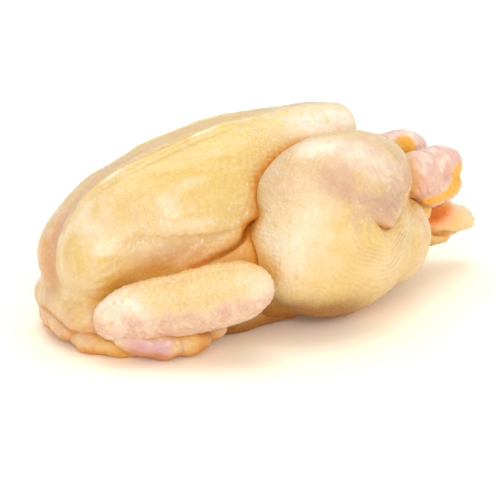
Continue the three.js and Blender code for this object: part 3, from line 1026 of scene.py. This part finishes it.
HOCK = [
    (64, -34, 75, 10, 11),
    (86, -28, 74, 14, 15),
    (107, -21, 72, 16, 17),
]
HOCK_UPPER_KNOB = [
    (90, -25, 80, 10, 10),
    (111, -20, 77, 13, 11),
    (129, -17, 72, 10, 11),
]
HOCK_LOWER_KNOB = [
    (84, -30, 64, 9, 9),
    (106, -24, 62, 13, 11),
    (128, -17, 63, 11, 10),
]
SCALE_STRIP = [
    (121, -30, 73),
    (120, -31, 68),
    (115, -34, 64),
    (107, -36, 61),
    (99, -36, 59),
    (91, -35, 58),
]
HOCK_ROOT = ((76, -32, 72), (7, 30, 30))
FAR_SCALES = ((106, 8, 80), (8, 9, 12))  # a scrap of scaly skin left on the far hock
FAR_HOCK_LIFT = 0.15  # the far hock is turned up by this share of its length
FAR_HOCK_PIVOT = 90  # about a place this far along
hock_material = raw_skin("hock_skin", 2.2, 0.2, 0.08, mauve=(0.62, 0.36, 0.33))
for side in ("near", "far"):
    knobs = []
    for stations, fullness in ((HOCK, 3.4), (HOCK_UPPER_KNOB, 3.0), (HOCK_LOWER_KNOB, 3.0)):
        rows = on_side(side, stations)
        if side == "far":
            rows[:, 2] += FAR_HOCK_LIFT * (rows[:, 0] - FAR_HOCK_PIVOT)
        knobs.append(fleshy_form(rows, fullness))
    hock = skin_over(f"{side}_hock", knobs, 1.2, 4)
    p = points_of(hock)
    n = outward(hock)
    near = as_near(p, side)
    strip_away, _, strip_share = along_path(near, SCALE_STRIP)
    strip = 1 - rise(strip_away + 1.2 * mottle(p, 5, 34) + 2 * strip_share, 4.0, 5.6)
    bare = 1 - strip
    grain = near[:, 0] * 0.75 + near[:, 2] * 0.65 + 3.0 * mottle(p, 11, 35)
    furrows = rise(waves(grain, 5.5), 0.2, 1.0) * rise(mottle(p, 9, 36), -0.4, 0.5)
    gristle = 1.3 * mottle(p, 12, 31) + 0.3 * mottle(p, 4, 32) - 0.6 * furrows
    scales = pimples(p, 2.4, 33)
    relief = gristle * bare + (0.2 + 0.7 * scales) * strip
    put_points(hock, p + n * relief[:, None])
    # Pale gristle with painted highlights, mottled and most on the faces turned up.
    whitened = 0.5 * rise(mottle(p, 6, 37) + 0.5 * n[:, 2], 0.0, 0.8)
    far_scales = rise(patch(p, *FAR_SCALES), 0.25, 0.6) if side == "far" else 0
    piece(
        hock,
        hock_material,
        # Pale gristle and painted highlights, brightest where the hock faces up.
        pearl=(rise(n[:, 2], 0.0, 0.7) + whitened) * bare,
        flesh=1.2 * bare * (1 - whitened),
        # Mauve gristle, with painted shade deeper where the hock faces down and in its furrows.
        mauve=(0.5 + 0.4 * rise(-n[:, 2], -0.5, 0.5) + 0.5 * furrows) * bare * (1 - whitened),
        # Orange painted shade where the hock leaves the leg.
        fold=0.9 * patch(near, *HOCK_ROOT),
        amber=strip * (1.0 - 0.35 * scales**2) + far_scales,
    )

# ---------------------------------------------------------------------------- tail
# The tail stub: a fat pointed flap over a rounder lobe, with the red hollow of the vent in front of
# them, under the hocks.

TAIL_BASE = [
    (75, 0, 34, 26, 20),
    (100, 0, 33, 23, 17),
    (124, 0, 31, 17, 13),
]
VENT_LIP = [
    (66, -14, 50, 20, 14),
    (90, -14, 49, 18, 12),
    (108, -10, 45, 16, 10),
]
TAIL_FLAP = [
    (100, -4, 38, 20, 11),
    (124, -4, 35, 20, 14),
    (143, -2, 31, 13, 8),
    (160, 0, 27, 4, 3),
]
TAIL_LOBE = [
    (94, -6, 29, 17, 10),
    (116, -6, 28, 17, 10),
    (134, -4, 27, 9, 7),
]
FLAP_CREASE = [
    (104, -22, 36),
    (110, -23, 31),
    (118, -22, 29),
    (128, -18, 28),
]
VENT = ((109, -15, 46), (11, 11, 8))
VENT_DEPTH = ((104, -12, 47), (9, 9, 7))
VENT_CUP = ((116, -18, 41), (13, 10, 8))
# Painted light on the tail's top and outer side.
TAIL_TOP = ((128, -6, 44), (16, 12, 4))
TAIL_SIDE = ((142, -12, 36), (16, 12, 12))
TAIL_FAT = ((145, -8, 32), (16, 20, 12))
tail = skin_over(
    "tail",
    [
        fleshy_form(TAIL_BASE, 3.0),
        fleshy_form(VENT_LIP, 3.0),
        fleshy_form(TAIL_FLAP, 3.0),
        fleshy_form(TAIL_LOBE, 3.0),
    ],
    1.3,
    3,
)
p = points_of(tail)
n = outward(tail)
vent = patch(p, *VENT)
cup = patch(p, *VENT_CUP)
crease_away, _, _ = along_path(p, FLAP_CREASE)
flap_tip = rise(p[:, 0], 140, 157)
relief = 1.4 * mottle(p, 11, 41) + 0.7 * mottle(p, 5, 42) + 0.3 * pimples(p, 2.8, 43)
relief -= 5.0 * vent + 2.5 * cup + 3.0 * bell(crease_away, 1.8)
relief += 2.2 * flap_tip * mottle(p, 3.0, 44)
put_points(tail, p + n * relief[:, None])
piece(
    tail,
    raw_skin("tail_skin", 2.6, 0.4, 0.12, mauve=(0.82, 0.32, 0.13)),
    gold=0.8,
    flesh=1.0 * cup,
    mauve=1.0 * vent + 0.9 * cup,
    # Painted light: the tail's top and outer side made paler.
    pearl=0.5 * patch(p, *TAIL_TOP) + 0.35 * patch(p, *TAIL_SIDE),
    fat=0.7 * patch(p, *TAIL_FAT),
    # Orange painted shade along the crease under the flap and on the low skin of the tail.
    fold=0.8 * bell(crease_away, 2.4) + 0.35 * rise(p[:, 2], 34, 24),
    # Painted shade, darkest: in the depth of the vent and in the crease under the flap.
    deep=0.35 * patch(p, *VENT_DEPTH) + 0.4 * bell(crease_away, 1.2),
)

# ---------------------------------------------------------------------------- painted crevice shade
# Painted shade: wherever two parts of the bird close over the skin, in the folds, under the wings and
# legs, and down to the table, its colour is darkened towards orange as shade would make it.

# The bird and the table are filled into a grid of cells, which is then blurred.
CELL = 4.0
GRID_LOW = np.array([-200.0, -140.0, -60.0])
GRID_CELLS = (100, 70, 54)
FILL_STEPS = 16  # steps in which a form's rings are drawn in, each shorter than a cell
FULL = 0.4  # a cell fuller than this counts as flesh
BLUR_ROUNDS = 6
HOVER = 7.0  # how far off the skin the grid is read
OPEN = 0.30  # skin starts to deepen where the grid is this full of flesh
SHUT = 0.72  # and is deepest from here on
GRISTLE_SHARE = 0.4  # gristle deepens this much of what skin does


def blurred(grid, rounds):
    """The grid with each cell replaced by the mean of itself and its two neighbours, axis by axis."""
    for _ in range(rounds):
        for axis in range(3):
            grid = (np.roll(grid, 1, axis) + grid + np.roll(grid, -1, axis)) / 3
    return grid


def flesh_grid(forms):
    """Cells that are 1 inside a form or the table and 0 in the air: each form is filled by drawing its
    rings in to their middles, and the pinholes left are closed."""
    grid = np.zeros(GRID_CELLS)
    for points, _ in forms:
        rings = points[1:-1].reshape(-1, AROUND, 3)
        middles = rings.mean(1, keepdims=True)
        for share in np.linspace(0, 1, FILL_STEPS):
            filled = (middles + share * (rings - middles)).reshape(-1, 3)
            cell = ((filled - GRID_LOW) / CELL).astype(int)
            grid[tuple(cell.T)] = 1
    grid = np.where(blurred(grid, 1) > FULL, 1.0, 0.0)
    grid[:, :, : int(-GRID_LOW[2] / CELL)] = 1
    return grid


def read_grid(grid, points):
    """The grid's value at each point, blended between the eight cells round it."""
    place = (points - GRID_LOW) / CELL - 0.5
    cell = np.floor(place).astype(int)
    f = place - cell
    value = np.zeros(len(points))
    for corner in np.ndindex(2, 2, 2):
        corner = np.array(corner)
        weight = np.prod(np.where(corner, f, 1 - f), axis=1)
        value += weight * grid[tuple((cell + corner).T)]
    return value


# How closely flesh closes in over each point sets its painted shade.
crowd = blurred(flesh_grid(all_forms), BLUR_ROUNDS)
for thing in pieces:
    closed_in = read_grid(crowd, points_of(thing.data) + HOVER * outward(thing.data))
    share = GRISTLE_SHARE if "hock" in thing.name else 1.0
    layer = thing.data.attributes.new("sheltered", "FLOAT", "POINT")
    layer.data.foreach_set("value", share * rise(closed_in, OPEN, SHUT).astype(np.float32))

# ---------------------------------------------------------------------------- table, light and camera
# A plain white table that gives back a faint warm glow. Three wide soft boxes light it, one overhead
# and two on the near side, towards the neck and the tail, with a small bright window between these two.
# It is seen a little from above and from the neck end of the near side.

TABLE_REACH = 4.0  # metres
TABLE_WHITE = (1.0, 0.90, 0.75)
TABLE_GLOW = (1.0, 0.80, 0.52)
GLOW_STRENGTH = 0.07
ROOM_LIGHT = 0.68
corners = [(-1, -1), (1, -1), (1, 1), (-1, 1)]
table_mesh = bpy.data.meshes.new("table")
table_mesh.from_pydata([(x * TABLE_REACH, y * TABLE_REACH, 0) for x, y in corners], [], [(0, 1, 2, 3)])
table = bpy.data.objects.new("table", table_mesh)
bpy.context.scene.collection.objects.link(table)
table_material = bpy.data.materials.new("white_table")
table_material.use_nodes = True
table_shader = table_material.node_tree.nodes["Principled BSDF"]
table_shader.inputs["Base Color"].default_value = (*TABLE_WHITE, 1)
table_shader.inputs["Emission Color"].default_value = (*TABLE_GLOW, 1)
table_shader.inputs["Emission Strength"].default_value = GLOW_STRENGTH
table_shader.inputs["Roughness"].default_value = 0.6
table_mesh.materials.append(table_material)

scene = bpy.context.scene
scene.view_settings.view_transform = "Standard"
world = bpy.data.worlds.new("studio")
world.use_nodes = True
background = world.node_tree.nodes["Background"]
background.inputs["Color"].default_value = (1.0, 1.0, 1.0, 1)
background.inputs["Strength"].default_value = ROOM_LIGHT
scene.world = world


def softbox(name, towards, width, power):
    """A far softbox: light of that power from one direction, as wide as that angle in degrees."""
    lamp = bpy.data.lights.new(name, "SUN")
    lamp.angle = math.radians(width)
    lamp.energy = power
    thing = bpy.data.objects.new(name, lamp)
    scene.collection.objects.link(thing)
    thing.rotation_euler = Vector(towards).to_track_quat("Z", "Y").to_euler()


softbox("overhead", (0.06, 0.22, 1.0), 44, 1.45)
softbox("front", (-0.52, -0.74, 0.42), 45, 1.15)
softbox("side", (0.60, -0.70, 0.35), 45, 0.38)
softbox("window", (-0.20, -0.84, 0.50), 8, 0.45)

AZIMUTH = math.radians(-30)
ELEVATION = math.radians(18)
DISTANCE = 0.867
AIM = Vector((-0.017, 0, 0.0335))
back = Vector(
    (
        math.sin(AZIMUTH) * math.cos(ELEVATION),
        -math.cos(AZIMUTH) * math.cos(ELEVATION),
        math.sin(ELEVATION),
    )
)
camera_data = bpy.data.cameras.new("camera")
camera_data.lens = 100
camera_data.sensor_width = 36
camera = bpy.data.objects.new("camera", camera_data)
scene.collection.objects.link(camera)
camera.location = AIM + back * DISTANCE
camera.rotation_euler = (-back).to_track_quat("-Z", "Y").to_euler()
scene.camera = camera
